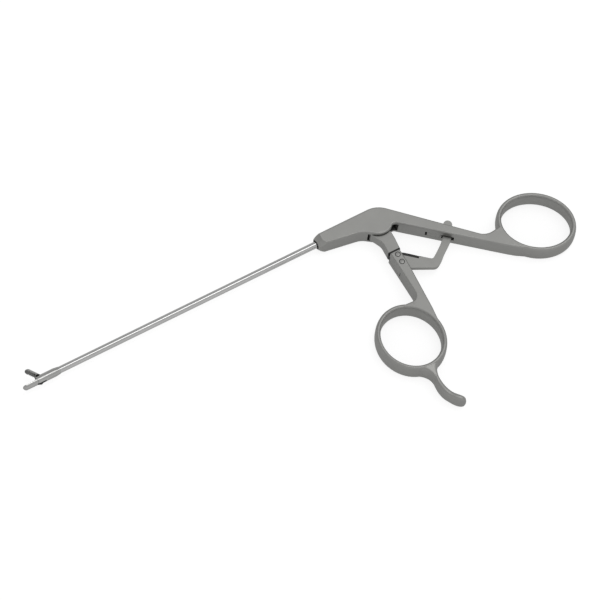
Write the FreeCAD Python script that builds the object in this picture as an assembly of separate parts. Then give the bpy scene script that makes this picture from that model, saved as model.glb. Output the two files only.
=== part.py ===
"""Ring-handled arthroscopic grasper: a push rod in a slim tube closes one hinged jaw.

The instrument lies on its side.  X runs along the shaft, with the jaws towards -X.
Y lies in the plane of the handles, with the fixed handle on the +Y side.  Z is the
thickness.  The pieces are drawn from the shaft axis at the front face of the handle's
nose, and written out from a point on the resting face, under the inner end of the tube.
All lengths are millimetres and all angles are degrees.
"""
import FreeCAD, Part
import math
import os

V = FreeCAD.Vector
Z_AXIS = V(0, 0, 1)
X_AXIS = V(1, 0, 0)

# Fits: radial or per-side clearances between neighbouring pieces
PRESS_GAP = 0.005
RUNNING_GAP = 0.02
SLIDING_GAP = 0.05
FREE_GAP = 0.1

# Handles
HANDLE_THICKNESS = 8.0
EDGE_RADIUS = 0.6
TOP_Y = 2.3
TOP_BEND_RADIUS = 10.0
NOSE_RADIUS = 2.15
NOSE_LENGTH = 5.0
BELLY_DROP = 0.31
BELLY_SLOPE = 9.3
BELLY_BEND_RADIUS = 8.0
HEEL_SLOPE = 37.0
BOSS_RADIUS = 5.85
VALLEY_RADIUS = 1.6
ARM_TOP_SLOPE = 45.0
ARM_BOTTOM_SLOPE = 41.2
BOSS_REAR_SLOPE = 41.1
ARM_STRAIGHT = 46.0
ARM_BLEND_RADIUS = 25.0
WEB_VALLEY_RADIUS = 6.0

# Closing motion
PIVOT = V(25.7, -3.9, 0)
LEVER_TRAVEL = 15.0
ROD_ARM = 3.9
JAW_TRAVEL = 57.0

# Finger rings: mean ellipse of an oval bar
RING_BAR_HALF_WIDTH = 1.1
RING_WEB_INSET = 0.25
UPPER_RING = {"centre": V(80.8, -33.65, 0), "long": 14.87, "short": 11.9, "turn": -40.0}
LOWER_RING = {"centre": V(11.06, -54.0, 0), "long": 13.9, "short": 12.65, "turn": 97.0}

# Hook under the lower ring: a straight neck and then a bend
HOOK_NECK = 8.5
HOOK_BEND_RADIUS = 15.0
HOOK_BEND = 47.0
HOOK_FLARE = 4.6
HOOK_FLARE_LENGTH = 6.3
HOOK_WAIST = 1.15
HOOK_SWELL = 1.5
HOOK_ROOT_HEIGHT = 3.7
HOOK_HEIGHT = 3.25
HOOK_TIP_LENGTH = 1.6

# Shaft and rod
TUBE_RADIUS = 1.375
TUBE_BORE = 0.875
TUBE_INSERT = 12.0
ROD_RADIUS = 0.8
ROD_NECK_RADIUS = 0.6
NOSE_COUNTERSINK = 0.5

# Jaws
WORKING_LENGTH = 134.1
JAW_RADIUS = 1.6
HOUSING_RADIUS = 1.75
JAW_PIVOT_SETBACK = 7.5
JAW_PIVOT_DROP = 0.9
GRIP_Y = 0.1
GRIP_GAP = 0.04
CHEEK_SETBACK = 6.4
HOUSING_LENGTH = 10.0
CLEVIS_DEPTH = 3.3
CLEVIS_WIDTH = 1.35
CLEVIS_OVERRUN = 0.6
SOCKET_LENGTH = 3.4
TAPER_LENGTH = 2.0
TAPER_LIP = 0.13
JAW_PIVOT_PIN_RADIUS = 0.4
JAW_DRIVE_PIN_RADIUS = 0.25
JAW_HEEL_RADIUS = 1.1
TOOTH_PITCH = 0.8
TOOTH_DEPTH = 0.28

# Lever mechanism in the body
POCKET_WIDTH = 5.1
POCKET_FRONT = 19.6
POCKET_REAR = 32.45
POCKET_TOP = 1.25
LEVER_HEAD_RADIUS = 2.3
LEVER_PIN_RADIUS = 1.0
TONGUE_THICKNESS = 1.9
DRIVE_PIN_RADIUS = 0.5
YOKE_WIDTH = 4.4
YOKE_LENGTH = 6.6
YOKE_BELOW = 1.3
YOKE_ABOVE = 1.1
YOKE_BEHIND_PIN = 1.35
YOKE_SOLID = 3.7
DOWEL_RADIUS = 0.3
LOCK_PIN_RADIUS = 0.4
LOCK_PIN_X = 6.0
LOCK_PIN_BITE = 0.325
PIN_COVER = 0.6

# Fork of the ring lever
FORK_FRONT = 22.4
FORK_REAR = 26.8
FORK_TOP = -18.3
FORK_SLOT_WIDTH = 2.6
FORK_SEAM = 0.15
UPPER_PIN = V(24.9, -20.4, 0)
RATCHET_PIN = V(24.7, -23.9, 0)
FORK_PIN_RADIUS = 0.6
PIN_HEAD_RADIUS = 0.95
PIN_HEAD_PROUD = 0.15
PIN_HEAD_DEPTH = 0.3
PIN_RECESS_GAP = 0.2

# Ratchet
RATCHET_INNER = 26.1
RATCHET_WIDTH = 3.5
RATCHET_TIP_ANGLE = -28.4
RATCHET_THICKNESS = 1.9
RATCHET_BOTTOM_SLOPE = 27.4
RATCHET_INNER_CORNER = 1.2
RATCHET_OUTER_CORNER = 2.5
RATCHET_SLOT_WIDTH = 2.5
SLOT_AHEAD = 7.0
SLOT_BEHIND = 1.05
RATCHET_TOOTH_DEPTH = 0.3
RATCHET_TOOTH_STEP = 1.5
RATCHET_TEETH = 11
RATCHET_FIRST_TOOTH = -39.2
RATCHET_SWING = 2.5
INSERT_SETBACK = 0.8
INSERT_RELIEF = 0.45
INSERT_PIN_RADIUS = 0.6
INSERT_PIN_DEPTH = 2.1
CATCH_HEIGHT = 1.0
LEAF_THICKNESS = 0.3
LEAF_WIDTH = 2.0

HALF = HANDLE_THICKNESS / 2
ORIGIN_AT = V(TUBE_INSERT, 0, -HALF)
JAW_PIVOT = V(JAW_PIVOT_SETBACK - WORKING_LENGTH, -JAW_PIVOT_DROP, 0)
CHEEK_FRONT = CHEEK_SETBACK - WORKING_LENGTH
HOUSING_REAR = CHEEK_FRONT + HOUSING_LENGTH
RATCHET_OUTER = RATCHET_INNER + RATCHET_WIDTH
TUBE_END = HOUSING_REAR - SOCKET_LENGTH
HALF_LEVER = math.radians(LEVER_TRAVEL / 2)
HALF_JAW = math.radians(JAW_TRAVEL / 2)
ROD_STROKE = 2 * ROD_ARM * math.sin(HALF_LEVER)
JAW_ARM = ROD_STROKE / (2 * math.sin(HALF_JAW))
LEVER_PIN_AT = PIVOT + V(ROD_ARM * math.sin(HALF_LEVER), ROD_ARM * math.cos(HALF_LEVER), 0)
JAW_PIN_OPEN = JAW_PIVOT + V(JAW_ARM * math.sin(HALF_JAW), JAW_ARM * math.cos(HALF_JAW), 0)
JAW_PIN_MID_Y = JAW_PIVOT.y + JAW_ARM
CLEVIS_REAR = CHEEK_FRONT + CLEVIS_DEPTH
CLEVIS_FRONT = CHEEK_FRONT - CLEVIS_OVERRUN
CHEEK_CORNER = V(CHEEK_FRONT, math.sqrt(HOUSING_RADIUS ** 2 - (CLEVIS_WIDTH / 2) ** 2), 0)
JAW_ROOT_RADIUS = JAW_PIVOT.distanceToPoint(CHEEK_CORNER) + SLIDING_GAP
TANG_HALF = CLEVIS_WIDTH / 2 - SLIDING_GAP


def direction(angle):
    """Unit vector in the XY plane."""
    return V(math.cos(math.radians(angle)), math.sin(math.radians(angle)), 0)


def rounded_wire(corners, z):
    """Closed wire through (x, y, radius) corners, each rounded by a tangent arc."""
    count = len(corners)
    arcs = []
    for i, (x, y, radius) in enumerate(corners):
        here = V(x, y, z)
        before = V(corners[i - 1][0], corners[i - 1][1], z) - here
        after = V(corners[(i + 1) % count][0], corners[(i + 1) % count][1], z) - here
        before.normalize()
        after.normalize()
        if radius <= 0:
            arcs.append((here, here, here))
            continue
        half = before.getAngle(after) / 2
        middle = before + after
        middle.normalize()
        reach = radius / math.tan(half)
        crown = here + middle * (radius / math.sin(half) - radius)
        arcs.append((here + before * reach, crown, here + after * reach))
    edges = []
    for i, (start, crown, end) in enumerate(arcs):
        if start.distanceToPoint(end) > 1e-6:
            edges.append(Part.Arc(start, crown, end).toShape())
        following = arcs[(i + 1) % count][0]
        if end.distanceToPoint(following) > 1e-6:
            edges.append(Part.LineSegment(end, following).toShape())
    return Part.Wire(edges)


def plate(corners, half_thickness, lower=None):
    """Flat plate about Z = 0, or from lower to half_thickness."""
    bottom = -half_thickness if lower is None else lower
    face = Part.Face(rounded_wire(corners, bottom))
    return face.extrude(V(0, 0, half_thickness - bottom))


def rod_between(radius, start, end):
    """Cylinder from one point to another."""
    return Part.makeCylinder(radius, start.distanceToPoint(end), start, end - start)


def pin_along_z(radius, centre, half_length):
    """Cylinder along Z about Z = 0."""
    return rod_between(radius, centre + V(0, 0, -half_length), centre + V(0, 0, half_length))


def blind_pin(radius, centre, extra=0.0):
    """Pin set in from the resting face, which stops short of the near face."""
    top = HALF - PIN_COVER + extra
    return rod_between(radius + extra, centre + V(0, 0, -HALF - extra), centre + V(0, 0, top))


def oval_wire(centre, first, second):
    """Closed ellipse, in two equal arcs, from its centre and its two semi-axis vectors."""
    long, short = (first, second) if first.Length >= second.Length else (second, first)
    if long.Length - short.Length < 1e-4:
        long = long * (1 + 1e-3)
    ellipse = Part.Ellipse(centre + long, centre + short, centre)
    return Part.Wire([ellipse.toShape(0, math.pi), ellipse.toShape(math.pi, 2 * math.pi)])


def ellipse_wire(ring, offset, z=0.0):
    """Ellipse of a ring's mean line, grown by offset, at height z."""
    centre = ring["centre"] + V(0, 0, z)
    along = direction(ring["turn"])
    across = direction(ring["turn"] + 90)
    return oval_wire(centre, along * (ring["long"] + offset), across * (ring["short"] + offset))


def ellipse_hole(ring, offset, half_height):
    """Solid that cuts a ring's opening."""
    face = Part.Face(ellipse_wire(ring, offset, -half_height))
    return face.extrude(V(0, 0, 2 * half_height))


def ring_bar(ring):
    """Oval bar bent round a ring's mean ellipse."""
    along = direction(ring["turn"])
    start = ring["centre"] + along * ring["long"]
    section = oval_wire(start, V(0, 0, HALF), along * RING_BAR_HALF_WIDTH)
    sweep = Part.BRepOffsetAPI.MakePipeShell(ellipse_wire(ring, 0))
    sweep.setBiNormalMode(Z_AXIS)
    sweep.add(section)
    sweep.build()
    sweep.makeSolid()
    return sweep.shape()


def on_ring(ring, angle):
    """Point of a ring's mean ellipse at a polar angle."""
    local = math.radians(angle - ring["turn"])
    radius = 1 / math.sqrt((math.cos(local) / ring["long"]) ** 2
                           + (math.sin(local) / ring["short"]) ** 2)
    return ring["centre"] + direction(angle) * radius


def clear_of(ring, edge):
    """Whether both ends of an edge lie well outside a ring's mean ellipse."""
    for vertex in edge.Vertexes:
        offset = vertex.Point - ring["centre"]
        level = (offset.dot(direction(ring["turn"])) / ring["long"]) ** 2
        level += (offset.dot(direction(ring["turn"] + 90)) / ring["short"]) ** 2
        if level < 1.08:
            return False
    return True


def soften(solid, radius, ring):
    """Round the outline edges of a plate on both of its faces, short of its ring."""
    edges = []
    for edge in solid.Edges:
        box = edge.BoundBox
        flat = box.ZLength < 1e-6
        on_face = abs(abs(box.ZMin) - HALF) < 1e-6
        if flat and on_face and clear_of(ring, edge):
            edges.append(edge)
    return solid.makeFillet(radius, edges)


def crossing(point_a, angle_a, point_b, angle_b):
    """Meeting point of two lines, each given by a point and a heading."""
    ua, ub = direction(angle_a), direction(angle_b)
    gap = point_b - point_a
    scale = (gap.x * ub.y - gap.y * ub.x) / (ua.x * ub.y - ua.y * ub.x)
    return point_a + ua * scale


def way_to_circle(start, heading, radius):
    """Distance along a unit heading to a circle about the lever pivot."""
    offset = start - PIVOT
    slant = offset.dot(heading)
    return math.sqrt(slant ** 2 - offset.dot(offset) + radius ** 2) - slant


def corner(point, radius=0.0):
    """Corner entry for rounded_wire."""
    return (point.x, point.y, radius)


# Handle outline, worked out from its slopes
ARM_TOP_AT = V(36.78, -5.96, 0)
ARM_ROOT = V(33.24, -9.39, 0)
ARM_ALONG = direction(-ARM_BOTTOM_SLOPE)
ARM_ACROSS = direction(90 - ARM_BOTTOM_SLOPE)
VALLEY = V(30.7, -7.3, 0)
HEEL_AT = V(18.8, -6.15, 0)
SLOT_START = way_to_circle(ARM_ROOT, ARM_ALONG, RATCHET_INNER) - SLOT_AHEAD
SLOT_END = way_to_circle(ARM_ROOT, ARM_ALONG, RATCHET_OUTER) + SLOT_BEHIND


def handle_plate():
    """Body, sloping arm and the web into the upper ring, as one flat outline."""
    top_bend = crossing(V(0, TOP_Y, 0), 0, ARM_TOP_AT, -ARM_TOP_SLOPE)
    web_end = on_ring(UPPER_RING, 160)
    web_valley = crossing(ARM_TOP_AT, -ARM_TOP_SLOPE, V(0, web_end.y - 0.6, 0), 0)
    belly_bend = crossing(V(0, -NOSE_RADIUS - BELLY_DROP, 0), -BELLY_SLOPE, HEEL_AT, -HEEL_SLOPE)
    boss_corner = crossing(HEEL_AT, -HEEL_SLOPE, VALLEY, BOSS_REAR_SLOPE)
    outline = [
        (0, TOP_Y, 0),
        corner(top_bend, TOP_BEND_RADIUS),
        corner(web_valley, WEB_VALLEY_RADIUS),
        corner(web_end),
        corner(UPPER_RING["centre"] - V(7, 2, 0)),
        corner(on_ring(UPPER_RING, 255)),
        corner(ARM_ROOT + ARM_ALONG * ARM_STRAIGHT, ARM_BLEND_RADIUS),
        corner(VALLEY, VALLEY_RADIUS),
        corner(boss_corner, BOSS_RADIUS),
        corner(belly_bend, BELLY_BEND_RADIUS),
        (0, -NOSE_RADIUS - BELLY_DROP, 0),
    ]
    return plate(outline, HALF)


def turned_nose():
    """What a lathe leaves at the front of the body: a swelling cone."""
    shoulder = 5.6
    profile = Part.Wire([
        Part.LineSegment(V(0, 0, 0), V(0, NOSE_RADIUS, 0)).toShape(),
        Part.Arc(V(0, NOSE_RADIUS, 0), V(2.2, 4.25, 0), V(NOSE_LENGTH, shoulder, 0)).toShape(),
        Part.LineSegment(V(NOSE_LENGTH, shoulder, 0), V(NOSE_LENGTH, 0, 0)).toShape(),
        Part.LineSegment(V(NOSE_LENGTH, 0, 0), V(0, 0, 0)).toShape(),
    ])
    return Part.Face(profile).revolve(V(0, 0, 0), X_AXIS, 360)


def mechanism_pocket():
    """Slot from the underside of the body for the lever, with room for the yoke above."""
    head_rear = PIVOT.x + 2.1
    open_end = PIVOT.y - 10
    outline = [
        (POCKET_FRONT, POCKET_TOP, 0.4),
        (head_rear, POCKET_TOP, 0.4),
        (head_rear, PIVOT.y + LEVER_HEAD_RADIUS + FREE_GAP, 0),
        (POCKET_REAR, PIVOT.y - 1.6, 1.0),
        (POCKET_REAR, open_end, 0),
        (POCKET_FRONT, open_end, 0),
    ]
    return plate(outline, POCKET_WIDTH / 2)


def ratchet_slot(start, end, width):
    """Straight-through slot in the sloping arm, measured along its lower face."""
    first = ARM_ROOT + ARM_ALONG * start - ARM_ACROSS
    last = ARM_ROOT + ARM_ALONG * end - ARM_ACROSS
    rise = ARM_ACROSS * 7
    outline = [corner(first), corner(last), corner(last + rise), corner(first + rise)]
    return plate(outline, width / 2)


def insert_pin_at():
    """Centre of the pin through the ratchet insert."""
    rear = way_to_circle(ARM_ROOT, ARM_ALONG, RATCHET_INNER)
    middle = (SLOT_START + INSERT_SETBACK + rear) / 2
    return ARM_ROOT + ARM_ALONG * middle + ARM_ACROSS * INSERT_PIN_DEPTH


def make_handle_body():
    """Fixed handle: nose, slotted body, sloping arm and upper ring."""
    body = soften(handle_plate(), EDGE_RADIUS, UPPER_RING)
    front = Part.makeBox(NOSE_LENGTH, 20, 20, V(0, -10, -10)).cut(turned_nose())
    body = body.cut(front)
    body = body.cut(ellipse_hole(UPPER_RING, -RING_WEB_INSET, HALF + 1))
    body = body.fuse(ring_bar(UPPER_RING))
    for cutter in [
        mechanism_pocket(),
        ratchet_slot(SLOT_START, SLOT_END, RATCHET_SLOT_WIDTH),
        rod_between(TUBE_RADIUS + PRESS_GAP, V(-1, 0, 0), V(TUBE_INSERT, 0, 0)),
        rod_between(TUBE_RADIUS + NOSE_COUNTERSINK, V(-1, 0, 0), V(0.8, 0, 0)),
        rod_between(ROD_RADIUS + FREE_GAP, V(0, 0, 0), V(POCKET_FRONT + 1, 0, 0)),
        blind_pin(LEVER_PIN_RADIUS, PIVOT, PRESS_GAP),
        blind_pin(LOCK_PIN_RADIUS, lock_pin_at(), PRESS_GAP),
        blind_pin(INSERT_PIN_RADIUS, insert_pin_at(), PRESS_GAP),
    ]:
        body = body.cut(cutter)
    return body


def lock_pin_at():
    """Centre of the pin that bites into the side of the tube."""
    return V(LOCK_PIN_X, TUBE_RADIUS + LOCK_PIN_RADIUS - LOCK_PIN_BITE, 0)


def make_shaft_tube():
    """Slim tube between the body and the jaw housing."""
    tube = rod_between(TUBE_RADIUS, V(TUBE_END, 0, 0), V(TUBE_INSERT, 0, 0))
    tube = tube.cut(rod_between(TUBE_BORE, V(TUBE_END - 1, 0, 0), V(TUBE_INSERT + 1, 0, 0)))
    return tube.cut(pin_along_z(LOCK_PIN_RADIUS + PRESS_GAP, lock_pin_at(), HALF))


def jaw_envelope():
    """Turned outer form of the closed jaws: a bar with a blunt, rounded tip."""
    tip = -WORKING_LENGTH
    profile = Part.Wire([
        Part.LineSegment(V(tip, 0, 0), V(tip, 0.55, 0)).toShape(),
        Part.Arc(V(tip, 0.55, 0), V(tip + 0.42, 1.25, 0), V(tip + 1.35, JAW_RADIUS, 0)).toShape(),
        Part.LineSegment(V(tip + 1.35, JAW_RADIUS, 0), V(JAW_PIVOT.x, JAW_RADIUS, 0)).toShape(),
        Part.LineSegment(V(JAW_PIVOT.x, JAW_RADIUS, 0), V(JAW_PIVOT.x, 0, 0)).toShape(),
        Part.LineSegment(V(JAW_PIVOT.x, 0, 0), V(tip, 0, 0)).toShape(),
    ])
    return Part.Face(profile).revolve(V(0, 0, 0), X_AXIS, 360)


def grip_grooves(side, shift):
    """Row of V grooves across a grip face; side is +1 into the upper jaw, -1 into the lower."""
    level = GRIP_Y if side > 0 else GRIP_Y - GRIP_GAP
    grooves = []
    x = -WORKING_LENGTH + 0.9 + shift
    while x + TOOTH_PITCH < JAW_PIVOT.x - JAW_ROOT_RADIUS:
        points = [
            V(x, level - side * 0.02, -2),
            V(x + TOOTH_PITCH * 0.45, level + side * TOOTH_DEPTH, -2),
            V(x + TOOTH_PITCH * 0.9, level - side * 0.02, -2),
        ]
        face = Part.Face(Part.makePolygon(points + [points[0]]))
        grooves.append(face.extrude(V(0, 0, 4)))
        x += TOOTH_PITCH
    return grooves


def clevis_slot():
    """Upright slot between the two cheeks, open above and below."""
    return Part.makeBox(CLEVIS_REAR - CLEVIS_FRONT, 4, CLEVIS_WIDTH, V(CLEVIS_FRONT, -2, -CLEVIS_WIDTH / 2))


def make_jaw_housing():
    """Tip piece: socket for the tube, slotted cheeks and the fixed lower jaw."""
    barrel_rear = HOUSING_REAR - TAPER_LENGTH
    barrel = rod_between(HOUSING_RADIUS, V(CHEEK_FRONT, 0, 0), V(barrel_rear, 0, 0))
    taper = Part.makeCone(HOUSING_RADIUS, TUBE_RADIUS + TAPER_LIP, TAPER_LENGTH,
                          V(barrel_rear, 0, 0), X_AXIS)
    length = CHEEK_FRONT + 0.3 + WORKING_LENGTH
    below = Part.makeBox(length, 4, 4, V(-WORKING_LENGTH, GRIP_Y - GRIP_GAP - 4, -2))
    lower_jaw = jaw_envelope().common(below)
    for groove in grip_grooves(-1, 0):
        lower_jaw = lower_jaw.cut(groove)
    housing = barrel.fuse([taper, lower_jaw])
    for cutter in [
        clevis_slot(),
        rod_between(ROD_NECK_RADIUS + FREE_GAP, V(CLEVIS_REAR - 1, 0, 0), V(HOUSING_REAR, 0, 0)),
        rod_between(TUBE_RADIUS + PRESS_GAP, V(TUBE_END - SLIDING_GAP, 0, 0), V(HOUSING_REAR + 1, 0, 0)),
        pin_along_z(JAW_PIVOT_PIN_RADIUS + PRESS_GAP, JAW_PIVOT, 3),
    ]:
        housing = housing.cut(cutter)
    return housing.removeSplitter()


def make_jaw_pivot_pin():
    """Hinge pin of the upper jaw, ground flush with the cheeks."""
    envelope = rod_between(HOUSING_RADIUS, V(CHEEK_FRONT, 0, 0), V(HOUSING_REAR, 0, 0))
    return pin_along_z(JAW_PIVOT_PIN_RADIUS, JAW_PIVOT, HOUSING_RADIUS).common(envelope)


def make_upper_jaw():
    """Hinged jaw, modelled closed and then opened about its pivot."""
    above = Part.makeBox(12, 4, 4, V(-WORKING_LENGTH - 1, GRIP_Y, -2))
    pad = jaw_envelope().common(above)
    pad = pad.cut(pin_along_z(JAW_ROOT_RADIUS, JAW_PIVOT, 3))
    for groove in grip_grooves(1, TOOTH_PITCH / 2):
        pad = pad.cut(groove)
    pin_closed = JAW_PIVOT + V(-JAW_ARM * math.sin(HALF_JAW), JAW_ARM * math.cos(HALF_JAW), 0)
    root_x = JAW_PIVOT.x - JAW_ROOT_RADIUS - 0.5
    neck = [
        (root_x, GRIP_Y, 0),
        (root_x, 1.35, 0),
        (JAW_PIVOT.x - 1.6, 1.3, 0.5),
        (JAW_PIVOT.x - 0.1, 0.75, 0.3),
        (JAW_PIVOT.x + 0.5, JAW_PIVOT.y, 0.2),
        (JAW_PIVOT.x - JAW_HEEL_RADIUS, JAW_PIVOT.y, 0.2),
        (CLEVIS_FRONT + FREE_GAP, GRIP_Y, 0),
    ]
    tang = plate(neck, TANG_HALF)
    tang = tang.fuse([
        pin_along_z(JAW_HEEL_RADIUS, JAW_PIVOT, TANG_HALF),
        pin_along_z(2 * JAW_DRIVE_PIN_RADIUS, pin_closed, TANG_HALF),
    ])
    blade_room = rod_between(JAW_ARM + 0.95, JAW_PIVOT + V(0, 0, -RUNNING_GAP), JAW_PIVOT + V(0, 0, 2))
    tang = tang.cut(blade_room)
    jaw = pad.fuse(tang)
    jaw = jaw.cut(pin_along_z(JAW_PIVOT_PIN_RADIUS + RUNNING_GAP, JAW_PIVOT, 3))
    jaw = jaw.cut(pin_along_z(JAW_DRIVE_PIN_RADIUS + PRESS_GAP, pin_closed, 3))
    jaw = jaw.removeSplitter()
    jaw.rotate(JAW_PIVOT, Z_AXIS, -JAW_TRAVEL)
    return jaw


def make_jaw_drive_pin():
    """Small pin of the jaw tang that rides in the blade's upright slot."""
    return pin_along_z(JAW_DRIVE_PIN_RADIUS, JAW_PIN_OPEN, TANG_HALF)


def upright_slot(centre, radius, reach, low, high):
    """Obround cutter that is taller than wide, through Z from low to high."""
    depth = high - low
    top = V(centre.x, centre.y + reach, low)
    bottom = V(centre.x, centre.y - reach, low)
    box = Part.makeBox(2 * radius, 2 * reach, depth, V(centre.x - radius, centre.y - reach, low))
    return box.fuse([Part.makeCylinder(radius, depth, top), Part.makeCylinder(radius, depth, bottom)])


def yoke_front():
    """X of the yoke's front face at rest."""
    return LEVER_PIN_AT.x + YOKE_BEHIND_PIN - YOKE_LENGTH


def make_drive_rod():
    """Push rod: flat slotted blade in front, thin neck, full-size rod behind."""
    mid = V(JAW_PIN_OPEN.x, (JAW_PIN_MID_Y + JAW_PIN_OPEN.y) / 2, 0)
    slot_radius = JAW_DRIVE_PIN_RADIUS + RUNNING_GAP
    reach = (JAW_PIN_MID_Y - JAW_PIN_OPEN.y) / 2 + 0.03
    blade_front = JAW_PIN_OPEN.x - slot_radius - 0.25
    blade_rear = CLEVIS_REAR - 0.2
    height = 2 * (reach + slot_radius + 0.2)
    blade = Part.makeBox(blade_rear - blade_front, height, TANG_HALF,
                         V(blade_front, mid.y - height / 2, 0))
    neck = rod_between(ROD_NECK_RADIUS, V(blade_rear - 0.3, 0, 0), V(TUBE_END + 2.5, 0, 0))
    neck_front = JAW_PIVOT.x + JAW_HEEL_RADIUS + ROD_STROKE + FREE_GAP
    tang_room = Part.makeBox(neck_front - blade_front + 1, 4, 4 + RUNNING_GAP,
                             V(blade_front - 1, -2, -4))
    rear = yoke_front() + YOKE_SOLID - 1.0
    rod = rod_between(ROD_RADIUS, V(TUBE_END + 2.5, 0, 0), V(rear, 0, 0))
    whole = blade.fuse([neck, rod])
    for cutter in [
        tang_room,
        upright_slot(mid, slot_radius, reach, -1, 2),
        pin_along_z(DOWEL_RADIUS + PRESS_GAP, yoke_dowel_at(), 3),
    ]:
        whole = whole.cut(cutter)
    return whole.removeSplitter()


def yoke_dowel_at():
    """Centre of the dowel that locks the rod in its yoke."""
    return V(yoke_front() + 1.3, 0, 0)


def make_rod_yoke():
    """Forked end piece of the rod, with upright slots for the lever's drive pin."""
    half = YOKE_WIDTH / 2
    block = Part.makeBox(YOKE_LENGTH, YOKE_BELOW + YOKE_ABOVE, YOKE_WIDTH,
                         V(yoke_front(), -YOKE_BELOW, -half))
    edges = [edge for edge in block.Edges if edge.BoundBox.XLength > 1]
    yoke = block.makeFillet(0.4, edges)
    fork_x = yoke_front() + YOKE_SOLID
    gap_half = TONGUE_THICKNESS / 2 + SLIDING_GAP
    for cutter in [
        Part.makeBox(YOKE_LENGTH, 5, 2 * gap_half, V(fork_x, -2.5, -gap_half)),
        upright_slot(V(LEVER_PIN_AT.x, 0, 0), DRIVE_PIN_RADIUS + RUNNING_GAP, 0.1, -3, 3),
        rod_between(ROD_RADIUS + PRESS_GAP, V(yoke_front() - 1, 0, 0), V(fork_x - 1.0, 0, 0)),
        pin_along_z(DOWEL_RADIUS + PRESS_GAP, yoke_dowel_at(), 3),
    ]:
        yoke = yoke.cut(cutter)
    return yoke


def make_drive_lever():
    """Drive lever: tongue above the pivot, toe and shank below, tang in the fork."""
    half = POCKET_WIDTH / 2 - FREE_GAP
    bottom = FORK_TOP + FORK_SEAM
    head_side = LEVER_HEAD_RADIUS - 0.1
    shank = plate([
        (PIVOT.x + head_side, PIVOT.y, 0),
        (PIVOT.x + 2.65, PIVOT.y - 4.6, 3),
        (PIVOT.x + 2.5, PIVOT.y - 9.1, 6),
        (FORK_REAR + 0.8, bottom, 0),
        (FORK_FRONT, bottom, 0),
        (PIVOT.x - 2.9, PIVOT.y - 8.5, 5),
        (PIVOT.x - 5.2, PIVOT.y - 3.5, 0.5),
        (PIVOT.x - 5.2, PIVOT.y - 2.0, 0.6),
        (PIVOT.x - head_side, PIVOT.y, 0),
    ], half)
    head = pin_along_z(LEVER_HEAD_RADIUS, PIVOT, half)
    side = [edge for edge in shank.Edges if edge.BoundBox.ZLength < 1e-6 and edge.BoundBox.YMax < PIVOT.y - 3.3]
    side = [edge for edge in side if edge.BoundBox.YLength > 0.5]
    shank = shank.makeFillet(0.35, side).fuse(head)
    thin = TONGUE_THICKNESS / 2
    tongue = plate([
        (PIVOT.x - 1.3, PIVOT.y, 0),
        (LEVER_PIN_AT.x - 1.02, LEVER_PIN_AT.y, 0),
        (LEVER_PIN_AT.x + 1.02, LEVER_PIN_AT.y, 0),
        (PIVOT.x + 1.5, PIVOT.y, 0),
    ], thin)
    tongue = tongue.fuse(pin_along_z(1.05, LEVER_PIN_AT, thin))
    tang_half = FORK_SLOT_WIDTH / 2 - SLIDING_GAP
    tang_rear = FORK_REAR - 0.5
    tang_step = RATCHET_PIN.y + 1.7
    tang_front = RATCHET_PIN.x - 1.45
    tang_end = RATCHET_PIN.y - 3
    tang = plate([
        (FORK_FRONT, FORK_TOP + 1, 0),
        (tang_rear, FORK_TOP + 1, 0),
        (tang_rear, tang_step, 0.5),
        (tang_front, tang_step, 0),
        (tang_front, tang_end + 0.4, 0.3),
        (FORK_FRONT, tang_end, 0.3),
    ], tang_half)
    lever = shank.fuse([tongue, tang])
    kerf = Part.makeBox(2, LEAF_THICKNESS + 2 * FREE_GAP, LEAF_WIDTH + 2 * FREE_GAP,
                        V(leaf_points()[0].x - 0.25, leaf_level() - LEAF_THICKNESS / 2 - FREE_GAP, -LEAF_WIDTH / 2 - FREE_GAP))
    for cutter in [
        pin_along_z(LEVER_PIN_RADIUS + RUNNING_GAP, PIVOT, HALF),
        pin_along_z(DRIVE_PIN_RADIUS + PRESS_GAP, LEVER_PIN_AT, HALF),
        pin_along_z(FORK_PIN_RADIUS + PRESS_GAP, UPPER_PIN, HALF),
        kerf,
    ]:
        lever = lever.cut(cutter)
    return lever.removeSplitter()


def make_lever_drive_pin():
    """Cross pin that carries the lever's push into the yoke."""
    return pin_along_z(DRIVE_PIN_RADIUS, LEVER_PIN_AT, YOKE_WIDTH / 2)


def make_lever_pivot_pin():
    """Main hinge pin, set in from the resting face."""
    return blind_pin(LEVER_PIN_RADIUS, PIVOT)


def ring_lever_plate():
    """Fork, stem and the web into the lower ring, as one flat outline."""
    web_front = on_ring(LOWER_RING, 75)
    rear_merge = on_ring(LOWER_RING, -20)
    outline = [
        (FORK_FRONT, FORK_TOP, 0.5),
        (FORK_REAR, FORK_TOP, 0.5),
        (26.7, -25.5, 60),
        (24.95, -47.5, 40),
        corner(rear_merge),
        corner(LOWER_RING["centre"] + V(2, 0, 0)),
        corner(web_front),
        (FORK_FRONT - 0.1, web_front.y - 0.1, 3.2),
    ]
    return plate(outline, HALF)


def hook_half_width(reached):
    """Half width of the hook at a distance from the ring: a flare, a waist and a swell."""
    if reached < HOOK_FLARE_LENGTH:
        left = 1 - reached / HOOK_FLARE_LENGTH
        flared = HOOK_WAIST + (HOOK_FLARE - HOOK_WAIST) * left ** 2.4
        return min(flared, HOOK_ROOT_HEIGHT - FREE_GAP)
    beyond = min(1.0, (reached - HOOK_FLARE_LENGTH) / HOOK_NECK)
    return HOOK_WAIST + (HOOK_SWELL - HOOK_WAIST) * math.sin(math.radians(90 * beyond))


def hook_half_height(reached):
    """Half thickness of the hook at a distance from the ring."""
    left = max(0.0, 1 - reached / HOOK_NECK)
    return HOOK_HEIGHT + (HOOK_ROOT_HEIGHT - HOOK_HEIGHT) * left


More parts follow.
